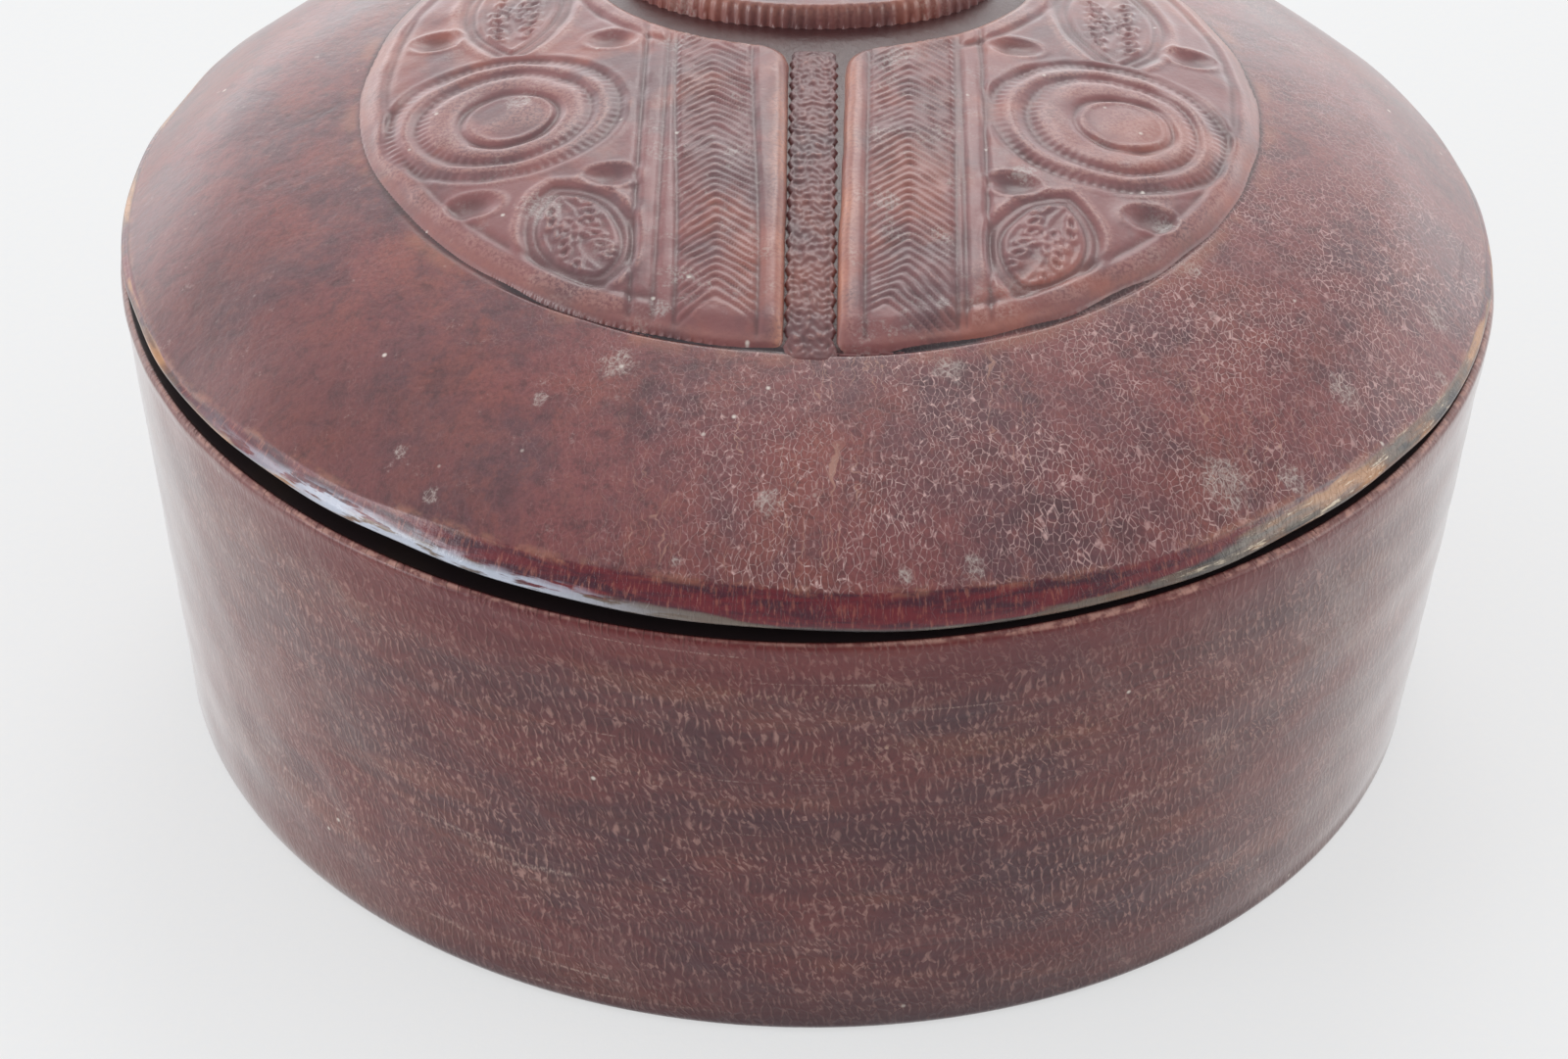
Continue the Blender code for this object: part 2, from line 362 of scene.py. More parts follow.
class Nodes:
    """Small wrapper that makes and links the nodes of one tree."""

    def __init__(self, tree):
        self.tree = tree

    def make(self, kind, settings=None, **inputs):
        made = self.tree.nodes.new(kind)
        for key, value in (settings or {}).items():
            setattr(made, key, value)
        for key, value in inputs.items():
            self.put(made.inputs[key], value)
        return made

    def value(self, kind, output=0, settings=None, **inputs):
        return Value(self, self.make(kind, settings, **inputs).outputs[output])

    def put(self, socket, value):
        if isinstance(value, Value):
            self.tree.links.new(value.socket, socket)
        else:
            socket.default_value = value

    def put_all(self, made, values):
        for socket, value in zip(made.inputs, values):
            self.put(socket, value)
        return Value(self, made.outputs[0])

    def math(self, operation, *values):
        return self.put_all(self.make("ShaderNodeMath", {"operation": operation}), values)

    def remap(self, value, low, high, to_low=0.0, to_high=1.0):
        made = self.make("ShaderNodeMapRange", {"interpolation_type": "SMOOTHSTEP"})
        return self.put_all(made, (value, low, high, to_low, to_high))

    def split(self, vector):
        made = self.make("ShaderNodeSeparateXYZ", Vector=vector)
        return [Value(self, socket) for socket in made.outputs]

    def join(self, x, y, z):
        return self.put_all(self.make("ShaderNodeCombineXYZ"), (x, y, z))


class Shader(Nodes):
    """Nodes of one material, with the colour painted so far."""

    def __init__(self, name):
        self.material = bpy.data.materials.new(name)
        self.material.use_nodes = True
        super().__init__(self.material.node_tree)
        self.surface = self.tree.nodes["Principled BSDF"]
        self.colour = None

    def mix(self, amount, first, second):
        made = self.make("ShaderNodeMix", {"data_type": "RGBA"}, Factor=amount)
        # the RGBA sockets share their names with the other types, so they are found by type
        for socket in made.inputs:
            if socket.type == "RGBA":
                tone = first if socket.name == "A" else second
                self.put(socket, (*tone, 1.0) if isinstance(tone, tuple) else tone)
        return Value(self, [out for out in made.outputs if out.type == "RGBA"][0])

    def blend_to(self, colour, amount, second, strength=1.0):
        """Colour moved towards a second one by amount times strength."""
        return self.mix(amount * strength, colour, second)

    def paint(self, amount, tone, strength=1.0):
        """Lay a tone over the colour so far."""
        self.colour = self.blend_to(self.colour, amount, tone, strength)

    def noise(self, vector, scale, detail=3.0, rough=0.55, distortion=0.0):
        """Cloudy pattern; a scale of several numbers stretches it."""
        if isinstance(scale, tuple):
            vector, scale = self.stretched(vector, *scale), 1.0
        return self.value("ShaderNodeTexNoise", "Fac", Vector=vector, Scale=scale, Detail=detail,
                          Roughness=rough, Distortion=distortion)

    def cells(self, vector, scale, feature="F1", randomness=1.0, output="Distance"):
        return self.value("ShaderNodeTexVoronoi", output, {"feature": feature}, Vector=vector,
                          Scale=scale, Randomness=randomness)

    def upright_net(self, vector, scale, width, uneven=1.0, low=0.45, high=0.70):
        """Light ridges between skin cells: all of them, and only those that run along Y."""
        edge = self.cells(vector, scale, "DISTANCE_TO_EDGE", uneven)
        net = self.remap(edge, width, width * 0.2)
        middle = self.cells(vector, scale, "F1", uneven, "Position")
        away = self.make("ShaderNodeVectorMath", {"operation": "SUBTRACT"})
        x, y, _ = [abs(part) for part in self.split(self.put_all(away, (vector, middle)))]
        return net, net * self.remap(x / (x + y + 0.001), low, high)

    def stretched(self, vector, x, y, z=0.0):
        return self.value("ShaderNodeMapping", Vector=vector, Scale=(x, y, z))

    def position(self):
        """Place on the object in mm."""
        place = self.value("ShaderNodeTexCoord", "Object")
        made = self.make("ShaderNodeVectorMath", {"operation": "SCALE"}, Scale=1.0 / MM)
        return self.put_all(made, (place,))

    def hypot(self, x, y):
        return self.math("SQRT", x * x + y * y)

    def place(self):
        """Place on the box in mm, its three parts, plan radius and angle from the front."""
        place = self.position()
        x, y, z = self.split(place)
        return place, x, y, z, self.hypot(x, y), self.math("ARCTAN2", x, -1.0 * y)

    def specks(self, vector, scale, size, gate_scale, gate):
        """Scattered dots, grouped by a slow pattern."""
        dots = self.remap(self.cells(vector, scale), size, 0.02)
        return dots * self.remap(self.noise(vector, gate_scale, 1.0), gate, gate + 0.08)

    def marks(self, x, y, places, ragged):
        """Ragged round marks at (place in plan, size)."""
        total = 0.0
        for centre, size in places:
            away = self.hypot(x - centre[0], y - centre[1]) + 2.4 * size * ragged
            total = self.math("MAXIMUM", total, self.remap(away, size, 0.45 * size))
        return total

    def bump(self, height, distance, strength=1.0, normal=None):
        made = self.make("ShaderNodeBump", Height=height, Distance=distance, Strength=strength)
        if normal is not None:
            self.put(made.inputs["Normal"], normal)
        return Value(self, made.outputs[0])

    def attribute(self, name):
        return self.value("ShaderNodeAttribute", "Fac", {"attribute_name": name})

    def edge_sheen(self, facing_on, grazing):
        """Sheen that is faint face on and strong at a grazing angle."""
        facing = self.value("ShaderNodeLayerWeight", "Facing", Blend=0.5)
        return self.remap(facing, 0.45, 1.0, facing_on, grazing)

    def finish(self, roughness, normal, specular, sheen=0.0, coat=0.0):
        values = {"Base Color": self.colour, "Roughness": roughness, "Normal": normal,
                  "Specular IOR Level": specular, "Sheen Weight": sheen, "Sheen Roughness": 0.38,
                  "Coat Weight": coat, "Coat Roughness": 0.28, "Coat IOR": 1.33}
        for name, value in values.items():
            self.put(self.surface.inputs[name], value)
        return self.material


# ---- leathers

def body_leather():
    """Brown hide wrapped round the wall: slanted hair-cell streaks, bands and scratches."""
    s = Shader("body_leather")
    _, _, _, height, out, turn = s.place()
    along = WRAP_RADIUS * turn
    wall = s.join(along, height, out)
    drift = s.noise(wall, (0.07, 0.1), 2.0) - 0.5
    wander = s.noise(wall, (0.35, 0.3), 2.0) - 0.5
    lean = along + 0.24 * height + 3.5 * drift + 0.55 * wander
    hair = s.join(lean, 0.46 * (height + 5.0 * drift), 0.0)
    net, streak = s.upright_net(hair, 1.14, 0.20, 0.86, 0.50, 0.78)
    fine = s.noise(wall, (3.6, 1.3), 3.0, 0.65)
    dots = s.noise(wall, (1.5, 0.9), 2.0, 0.6)
    wavy = s.join(0.016 * along, 0.2 * (height + 4.0 * drift), 0.0)
    bands = s.noise(wavy, 1.0, 3.0, 0.6, 0.5)
    blotch = s.noise(wall, (0.04, 0.075), 4.0, 0.6, 0.4)
    s.colour = s.mix(s.remap(blotch, 0.36, 0.62), (0.074, 0.0215, 0.028), (0.134, 0.032, 0.031))
    warm = s.remap(s.noise(wall, (0.039, 0.143), 3.0, 0.6), 0.5, 0.68)
    s.paint(warm, (0.18, 0.056, 0.038), 0.6)
    s.paint(s.remap(bands, 0.5, 0.34), (0.052, 0.017, 0.024), 0.42)
    pits = s.remap(fine, 0.52, 0.36) * s.remap(net, 0.6, 0.1)
    s.paint(pits, (0.036, 0.01, 0.012), 0.32)
    patchy = s.remap(s.noise(wall, (0.045, 0.15), 3.0), 0.36, 0.64, 0.22, 1.0)
    gaps = s.remap(net, 0.5, 0.0) * s.remap(fine, 0.62, 0.4)
    s.paint(gaps, (0.04, 0.011, 0.014), 0.3)
    bright = streak * (0.42 + 0.58 * patchy) * s.remap(dots, 0.3, 0.56, 0.25, 1.0)
    s.paint(bright, (0.42, 0.235, 0.2), 0.66)
    tips = s.remap(dots, 0.52, 0.66) * s.remap(bands, 0.54, 0.66)
    s.paint(tips * s.remap(fine, 0.44, 0.6), (0.44, 0.28, 0.21), 0.6)
    # painted contact shadow: the wall is darkened towards its foot, most in the lowest 3 mm
    s.paint(s.remap(height, 11.0, 0.0), (0.072, 0.019, 0.02), 0.5)
    s.paint(s.remap(height, 3.2, 0.2), (0.03, 0.012, 0.02), 0.6)
    s.paint(s.remap(height, RIM_Z - 9.0, RIM_Z - 1.0), (0.15, 0.02, 0.021), 0.62)
    scratch = s.cells(s.stretched(wall, 0.035, 1.0, 0.0), 0.24, "DISTANCE_TO_EDGE")
    scratch = s.remap(scratch, 0.03, 0.0) * s.remap(fine, 0.44, 0.6)
    scratch = scratch * s.remap(s.noise(wall, (0.039, 0.13), 2.0), 0.54, 0.64)
    s.paint(scratch, (0.52, 0.38, 0.32), 0.5)
    # both sides are rubbed grey, with slanting scrapes, and lightened with a painted sheen and a
    # painted whitish haze
    aside = abs(along)
    flank_sheen_and_scuffs = s.remap(aside, 34.0, 78.0) * s.remap(aside, 138.0, 100.0, 0.15, 1.0)
    slant = s.join(0.14 * (along + 0.7 * height), 0.035 * height, 0.0)
    scuff = s.remap(s.noise(slant, 1.0, 5.0, 0.72, 0.4), 0.53, 0.68)
    scuff = scuff * s.remap(fine, 0.36, 0.58) * (0.25 + 0.75 * flank_sheen_and_scuffs)
    s.paint(scuff, (0.46, 0.4, 0.37), 0.3)
    # painted sheen: the sides of the wall are lightened
    s.paint(flank_sheen_and_scuffs, (0.3, 0.165, 0.145), 0.3)
    # dust mixed with a painted whitish haze on the sides
    dust = s.noise(wall, (0.05, 0.06), 5.0, 0.72, 0.4)
    dust_and_sheen = flank_sheen_and_scuffs * s.remap(dust, 0.44, 0.64) * s.remap(fine, 0.36, 0.6, 0.3, 1.0)
    s.paint(dust_and_sheen, (0.44, 0.35, 0.32), 0.3)
    s.paint(s.specks(wall, 0.17, 0.06, 0.11, 0.5), (0.72, 0.64, 0.56), 0.8)
    worn = s.remap(height, RIM_Z - 0.55, RIM_Z - 0.2)
    worn = worn * s.remap(out, RIM_RADIUS - 0.8, RIM_RADIUS - 0.5)
    nick = s.remap(s.noise(wall, (0.7, 1.4), 3.0), 0.44, 0.6)
    s.paint(worn * (0.15 + 0.65 * nick), (0.5, 0.26, 0.21))
    # inside the mouth the hide is painted near black: painted shade of the gap under the lid
    depth = wall_radius(height) - out
    mouth_shade = s.remap(depth, 0.65, 1.0) * s.remap(height, 40.0, 45.0)
    s.paint(mouth_shade, (0.01, 0.007, 0.009), 0.97)
    rough = s.remap(0.5 * fine + 0.5 * blotch, 0.3, 0.7, 0.36, 0.47)
    rough = rough + 0.12 * s.math("MAXIMUM", scratch, scuff)
    skin = s.remap(mouth_shade, 0.0, 1.0, 1.0, 0.0)
    normal = s.bump((0.55 * net + 0.55 * streak + 0.35 * fine) * skin, 0.0001)
    normal = s.bump(bands * skin, 0.0008, 0.5, normal)
    return s.finish(rough, normal, 0.2, s.edge_sheen(0.1, 1.0), 0.9)


def lid_leather():
    """Mahogany hide of the lid: mottled, with a crackled net of veins on the front and right."""
    s = Shader("lid_leather")
    place, x, y, _, radius, turn = s.place()
    flat = s.join(x, y, 0.0)
    crease = s.attribute("crease")
    edge_up = s.attribute("edge_up")
    blotch = s.noise(flat, 0.055, 6.0, 0.66, 0.3)
    cloud = s.noise(flat, 0.15, 5.0, 0.68, 0.3)
    rust = s.noise(s.join(y, x, 20.0), 0.085, 6.0, 0.70, 0.3)
    fine = s.noise(place, 2.4, 4.0, 0.65)
    dots = s.noise(flat, 1.3, 3.0, 0.6)
    s.colour = s.mix(s.remap(blotch, 0.36, 0.6), (0.114, 0.043, 0.053), (0.2, 0.055, 0.057))
    s.paint(s.remap(rust, 0.46, 0.7), (0.255, 0.064, 0.046), 0.66)
    s.paint(s.remap(cloud, 0.48, 0.34), (0.058, 0.022, 0.03), 0.5)
    s.paint(s.remap(fine, 0.56, 0.38), (0.06, 0.016, 0.017), 0.3)
    mottle = s.noise(flat, 0.50, 5.0, 0.74, 0.2)
    s.paint(s.remap(mottle, 0.5, 0.64), (0.24, 0.072, 0.062), 0.42)
    s.paint(s.remap(mottle, 0.48, 0.36), (0.05, 0.016, 0.02), 0.42)
    # painted shade: the dome is darkened towards its edge on the lower left
    shade = s.remap(radius, 54.0, 70.0) * s.remap(abs(turn + 0.95), 0.65, 0.2)
    s.paint(shade, (0.066, 0.018, 0.02), 0.36)
    # the skin's cells, with veins that run from the dome down to the edge
    warp = s.noise(flat, 0.4, 2.0) - 0.5
    warp2 = s.noise(s.join(y, x, 7.0), 0.4, 2.0) - 0.5
    bent = s.join(x + 1.2 * warp, 0.7 * y + 1.0 * warp2, 0.0)
    net, upright = s.upright_net(bent, 1.70, 0.085)
    long_bent = s.join(x + 3.2 * warp, 0.15 * y, 3.0)
    long_vein = s.upright_net(long_bent, 0.62, 0.034)[1]
    right = s.remap(x + 36.0 * (cloud - 0.5), -30.0, 12.0, 0.05, 1.0)
    front = s.remap(y + 26.0 * (blotch - 0.5), 10.0, -28.0, 0.3, 1.0)
    crackle = right * front * s.remap(s.noise(flat, 0.09, 3.0, 0.6), 0.36, 0.6, 0.35, 1.0)
    fade = s.remap(dots, 0.34, 0.56, 0.20, 1.0)
    middle = s.remap(x, 34.0, 14.0)
    vein = (net * (0.9 - 0.35 * middle) + upright * middle) * fade * crackle
    s.paint(vein, (0.62, 0.39, 0.37), 0.8)
    strand = s.remap(s.noise(s.join(x, 0.3 * y, 11.0), 0.16, 2.0), 0.48, 0.6)
    long_vein = long_vein * strand * s.remap(y, -34.0, -50.0)
    s.paint(long_vein * s.remap(x, -26.0, -10.0), (0.46, 0.25, 0.19), 0.6)
    pale = s.remap(s.noise(flat, 0.3, 5.0, 0.75), 0.58, 0.7) * s.remap(fine, 0.46, 0.62)
    s.paint(pale, (0.36, 0.27, 0.25), 0.5)
    s.paint(s.specks(flat, 0.22, 0.075, 0.15, 0.5), (0.75, 0.66, 0.6), 0.85)
    scuffs = s.marks(x, y, SCUFFS, s.noise(flat, 0.9, 4.0, 0.7) - 0.5)
    crust = scuffs * (s.remap(fine, 0.42, 0.6, 0.1, 0.8) + 0.5 * net)
    s.paint(crust, (0.46, 0.39, 0.36), 0.6)
    # painted shade under the panels, seen in the channel and the well; the skin rubbed round them; a
    # painted shadow along the join
    # painted shade where the skin shows between the panels, the strip and the boss
    panel = s.remap(radius, MEDALLION_RADIUS + 0.6, MEDALLION_RADIUS - 0.1)
    s.paint(panel, (0.045, 0.01, 0.01), 0.88)
    halo = s.remap(radius, 51.4, 49.6) * s.remap(radius, 48.6, 49.4)
    s.paint(halo * s.remap(s.noise(flat, 0.14, 3.0), 0.46, 0.6), (0.36, 0.14, 0.085), 0.42)
    # painted shadow along the panels' outer edge, strongest at the front
    join_shadow = s.remap(radius, 49.35, 49.0) * s.remap(radius, 48.3, 48.6)
    join_shadow = join_shadow * s.remap(s.noise(flat, 0.1, 2.0), 0.38, 0.5)
    join_shadow = join_shadow * s.remap(abs(turn + 0.12), 1.0, 0.35, 0.1, 1.0)
    s.paint(join_shadow, (0.012, 0.008, 0.014), 0.85)
    # the upright edge: dark red, rubbed along the crease, its lowest strip worn down to raw hide
    wrap = s.join(EDGE_WRAP * turn, edge_up, 0.0)
    streaky = s.noise(wrap, (0.12, 0.8), 4.0, 0.6, 0.5)
    patch = s.noise(wrap, (0.055, 0.35), 3.0, 0.6)
    grains = s.remap(s.noise(wrap, (2.6, 0.7), 3.0, 0.6), 0.52, 0.66)
    band = s.mix(s.remap(streaky, 0.4, 0.62), (0.15, 0.018, 0.026), (0.062, 0.014, 0.026))
    band = s.blend_to(band, grains, (0.34, 0.115, 0.085), 0.5)
    tan_side = s.remap(abs(turn + 0.05), 0.35, 0.95)
    grey = s.mix(s.remap(streaky, 0.42, 0.6), (0.05, 0.043, 0.045), (0.15, 0.128, 0.108))
    tan = s.mix(s.remap(streaky, 0.4, 0.6), (0.42, 0.2, 0.085), (0.17, 0.085, 0.055))
    raw = s.mix(s.remap(patch, 0.42, 0.56) * (0.25 + 0.75 * tan_side), grey, tan)
    right_part = s.remap(turn, 0.36, 0.66) * s.remap(turn, 1.35, 1.05)
    strip_top = 0.45 + 0.9 * s.remap(patch, 0.4, 0.66) + 1.5 * right_part
    nicks = right_part * s.remap(s.noise(wrap, (0.22, 1.6), 4.0, 0.7), 0.56, 0.66)
    raw = s.blend_to(raw, nicks, (0.78, 0.66, 0.5), 0.85)
    band = s.mix(s.remap(edge_up - strip_top, 0.3, -0.15), band, raw)
    # painted bluish-white glare on the left of the front, where the edge band is also made glossier
    left_glare = s.remap(turn, -1.0, -0.62) * s.remap(turn, -0.1, -0.4)
    left_glare = left_glare * s.remap(edge_up + 3.2 * (patch - 0.5), 2.0, 1.1)
    left_glare = left_glare * s.remap(s.noise(wrap, (0.208, 1.43), 3.0, 0.6), 0.4, 0.5)
    band = s.blend_to(band, left_glare, (0.5, 0.54, 0.64), 0.88)
    # painted shade of the gap: the lowest strip of the edge and the face under it are near black
    under = s.remap(edge_up - 0.4 * s.remap(radius, 74.6, 73.6), 0.1, -0.05)
    band = s.blend_to(band, under, (0.016, 0.01, 0.012), 0.95)
    edge = s.remap(crease, -0.1, 0.12)
    s.colour = s.mix(edge, s.colour, band)
    arris = s.remap(crease, -0.75, -0.1) * s.remap(crease, 0.4, 0.05)
    rub = s.remap(s.noise(wrap, (0.2, 0.5), 4.0, 0.7), 0.46, 0.62)
    s.paint(arris * rub, (0.42, 0.19, 0.12), 0.36)
    rough = s.remap(0.4 * fine + 0.6 * blotch, 0.32, 0.68, 0.33, 0.45)
    rough = rough + 0.16 * scuffs - 0.08 * edge - 0.1 * left_glare * edge
    grain = s.cells(s.join(x, 0.8 * y, 0.0), 1.3, "SMOOTH_F1", 0.9)
    normal = s.bump(0.7 * vein + 0.3 * fine + 0.4 * grain, 0.0001)
    normal = s.bump(cloud, 0.0009, 0.3, normal)
    return s.finish(rough, normal, 0.3, 0.06, 0.9)


def panel_leather(name, tint, roughness):
    """Stamped leather: dye settles in the grooves, which also get painted shade, and rubs off the
    ridges and edges.
    """
    s = Shader(name)
    place, x, y, _, _, _ = s.place()
    relief = s.attribute("relief")
    wear = s.attribute("wear")
    flat = s.join(x, y, 0.0)
    cloud = s.noise(flat, 0.085, 4.0, 0.62, 0.5)
    rust = s.noise(s.join(y, x, 5.0), 0.07, 4.0, 0.62, 0.4)
    fine = s.noise(place, 2.6, 4.0, 0.65)

    def tinted(*tone):
        return tuple(tint * part for part in tone)

    dark, mid = tinted(0.11, 0.043, 0.049), tinted(0.18, 0.058, 0.059)
    s.colour = s.mix(s.remap(cloud, 0.36, 0.6), dark, mid)
    s.paint(s.remap(rust, 0.48, 0.68), tinted(0.27, 0.08, 0.056), 0.7)
    # grooves darkened by dye and by painted shade
    s.paint(s.remap(relief, -0.04, -0.3), (0.066, 0.02, 0.023), 0.55)
    raised = s.remap(relief, 0.02, 0.16) * s.remap(fine, 0.36, 0.6)
    s.paint(raised, (0.42, 0.215, 0.185), 0.5)
    grime = s.remap(s.noise(flat, 0.16, 5.0, 0.72), 0.52, 0.64) * s.remap(fine, 0.42, 0.6)
    middle = s.remap(abs(abs(x) - 10.0), 9.0, 2.0, 0.35, 1.0)
    s.paint(grime * middle, (0.4, 0.365, 0.34), 0.5)
    crust = s.marks(x, y, PANEL_SCUFFS, s.noise(flat, 1.1, 4.0, 0.7) - 0.5)
    crust = crust * s.remap(fine, 0.38, 0.6, 0.2, 1.0)
    s.paint(crust, (0.46, 0.42, 0.4), 0.5)
    s.paint(s.specks(flat, 0.26, 0.085, 0.17, 0.48), (0.72, 0.66, 0.6), 0.75)
    s.paint(wear * s.remap(fine, 0.3, 0.58, 0.35, 1.0), (0.52, 0.225, 0.145), 0.7)
    rough = s.remap(0.5 * fine + 0.5 * cloud, 0.32, 0.66, roughness, roughness + 0.12)
    grain = s.cells(place, 1.6, "SMOOTH_F1", 0.9)
    normal = s.bump(0.5 * fine + 0.5 * grain, 0.00008)
    return s.finish(rough, normal, 0.4, 0.1, 0.9)


def raw_leather(name, base, fleck, scale, roughness):
    """Undyed or lining hide with a fibrous nap."""
    s = Shader(name)
    place = s.position()
    fibre = s.noise(s.stretched(place, 1.0, 1.0, 2.6), scale, 5.0, 0.7, 0.8)
    blotch = s.noise(place, 0.06, 3.0)
    s.colour = s.mix(s.remap(fibre, 0.32, 0.68), base, fleck)
    s.paint(s.remap(blotch, 0.45, 0.7), tuple(0.5 * part for part in base), 0.35)
    rough = s.remap(fibre, 0.3, 0.7, roughness - 0.08, roughness + 0.05)
    return s.finish(rough, s.bump(fibre, 0.00016), 0.3)


def board_material():
    """Raw pasted board, seen only on cut edges."""
    s = Shader("board")
    place = s.position()
    plies = s.noise(place, (0.25, 0.25, 6.0), 3.0, 0.6)
    flecks = s.noise(place, 1.6, 4.0, 0.7)
    s.colour = s.mix(s.remap(plies, 0.35, 0.65), (0.3, 0.21, 0.125), (0.42, 0.31, 0.2))
    s.paint(s.remap(flecks, 0.55, 0.7), (0.18, 0.12, 0.07), 0.5)
    return s.finish(s.remap(flecks, 0.3, 0.7, 0.78, 0.92), s.bump(flecks, 0.0002), 0.3)


def floor_material():
    """Pale paper, lit a little from within so that shadows on it stay soft."""
    s = Shader("floor_paper")
    tone = s.noise(s.position(), 0.9, 3.0)
    s.colour = s.mix(s.remap(tone, 0.3, 0.7), (0.265, 0.27, 0.275), (0.275, 0.275, 0.272))
    s.put(s.surface.inputs["Emission Color"], (0.99, 0.995, 1.0, 1.0))
    s.put(s.surface.inputs["Emission Strength"], PAPER_GLOW)
    return s.finish(0.9, s.bump(tone, 0.00003), 0.0)


# rubbed and scraped marks on the lid and its panels: (place in plan, size) in mm
SCUFFS = (((-3.6, -65.9), 1.5), ((41.2, -56.5), 3.0), ((48.4, -53.6), 1.7), ((13.9, -49.6), 2.0),
          ((66.0, -24.6), 1.6), ((54.4, -41.6), 1.9), ((66.0, -32.0), 1.0), ((-36.3, -61.8), 0.9),
          ((-39.7, -56.6), 0.9), ((-18.5, -49.8), 2.2), ((16.4, -70.0), 1.2), ((9.8, -71.4), 0.9),
          ((-26.2, -53.1), 1.0), ((39.0, -31.6), 1.6), ((-12.2, -71.0), 0.6))
PANEL_SCUFFS = (((-27.4, -28.0), 2.6), ((-8.3, -20.5), 1.0), ((22.0, -21.6), 1.6), ((7.9, -28.2), 1.6),
                ((-31.0, -8.6), 1.7), ((13.4, -42.5), 1.0), ((-14.6, -44.0), 1.3), ((36.4, -27.0), 1.3))


# ---- body

def wall_shape(radius, angle, height):
    """Hand-made unevenness of the wall, and the lapped seam at the back."""
    outer = radius > wall_radius(height) - 0.9
    swell = 0.16 * waves(11, angle, height, 7, 5, 60.0) + 0.05 * waves(12, angle, height, 12, 3, 7.0)
    swell += 0.03 * waves(13, angle, height, 16, 46, 14.0)
    back = (np.degrees(angle) + 360.0) % 360.0 - 186.0
    lap = 0.38 * smooth(0.0, 0.35, back) * (1.0 - smooth(5.0, 15.0, back))
    inside_height = smooth(0.2, 2.0, height) * (1.0 - 0.5 * smooth(RIM_Z - 1.5, RIM_Z, height))
    radius = radius + np.where(outer, (swell + lap) * inside_height, 0.0)
    rim_dip = 0.12 * ring_waves(14, angle, 6, 6) - 0.05
    height += rim_dip * smooth(RIM_Z - 4.0, RIM_Z - 0.2, height)
    return radius, height


def build_body():
    """Skin of the wall, its lining and the collar that the lid drops over."""
    fold = RIM_RADIUS - LIP
    under = BASE_HIGH[0] + 0.3
    top_round = 0.9
    foot = 1.1
    round_z = RIM_Z - top_round
    corner = (RIM_RADIUS - top_round, round_z)
    outline = line((wall_radius(foot) - 0.02, foot), (wall_radius(round_z), round_z), 0.8)
    outline += arc(corner, top_round, 5, 90, 7)
    outline += line((RIM_RADIUS - top_round - 0.5, RIM_Z), (fold + 0.4, RIM_Z), 0.8)
    outline += arc((fold + 0.4, RIM_Z - 0.4), 0.4, 90, 180, 4)
    outline += [(fold, RIM_Z - SKIN)]
    outline += line((RIM_RADIUS - SKIN - 0.4, RIM_Z - SKIN - 0.02),
                    (wall_radius(SKIN) - SKIN, SKIN), 4.0)
    outline += [(under, SKIN), (under, 0.02)]
    outline += line((under + 0.4, 0.0), (BASE_RADIUS - foot, 0.0), 1.0)
    outline += arc((BASE_RADIUS - foot + 0.05, foot), foot, -90, -8, 6)
    turned("body_skin", outline, wall_shape)

    def lining_shape(radius, angle, height):
        return radius + 0.10 * waves(21, angle, height, 8, 7, 40.0), height

    low, high = LINING_LOW[2] + 0.05, LINING_HIGH[2] - 0.1
    corners = [(wall_radius(z) - inset, z) for inset, z in
               ((LINING_BACK, high), (LINING_BACK, low), (LINING_FACE, low), (LINING_FACE, high))]
    turned("lining_of_wall", path(corners, 1.6), lining_shape, LINING_TURNS)

    top = COLLAR_HIGH[2]
    outside = RIM_RADIUS - COLLAR_INSET
    inside = outside - COLLAR_THICK
    low = COLLAR_LOW[2]
    low_radius = wall_radius(low) - COLLAR_INSET
    corners = [(outside - 2.9, top - 0.35), (outside - 0.25, RIM_Z + 0.6), (outside, RIM_Z - 0.4),
               (low_radius, low), (low_radius - COLLAR_THICK, low),
               (inside, RIM_Z - 6.0), (inside - 1.9, top - 0.35), (outside - 3.5, top)]

    def collar_shape(radius, angle, height):
        rise = 0.12 * ring_waves(31, angle, 6, 7) - 0.14
        return radius + 0.06 * waves(32, angle, height, 8, 9, 30.0), height + rise * (height > RIM_Z)

    turned("collar_band", path(corners, 1.2), collar_shape, LINING_TURNS)


# ---- lid skin

def hermite(share, start, start_slope, end, end_slope, run):
    """Height along a curve between two points with given slopes."""
    two, three = share ** 2, share ** 3
    return ((2 * three - 3 * two + 1) * start + (three - 2 * two + share) * run * start_slope
            + (3 * two - 2 * three) * end + (three - two) * run * end_slope)


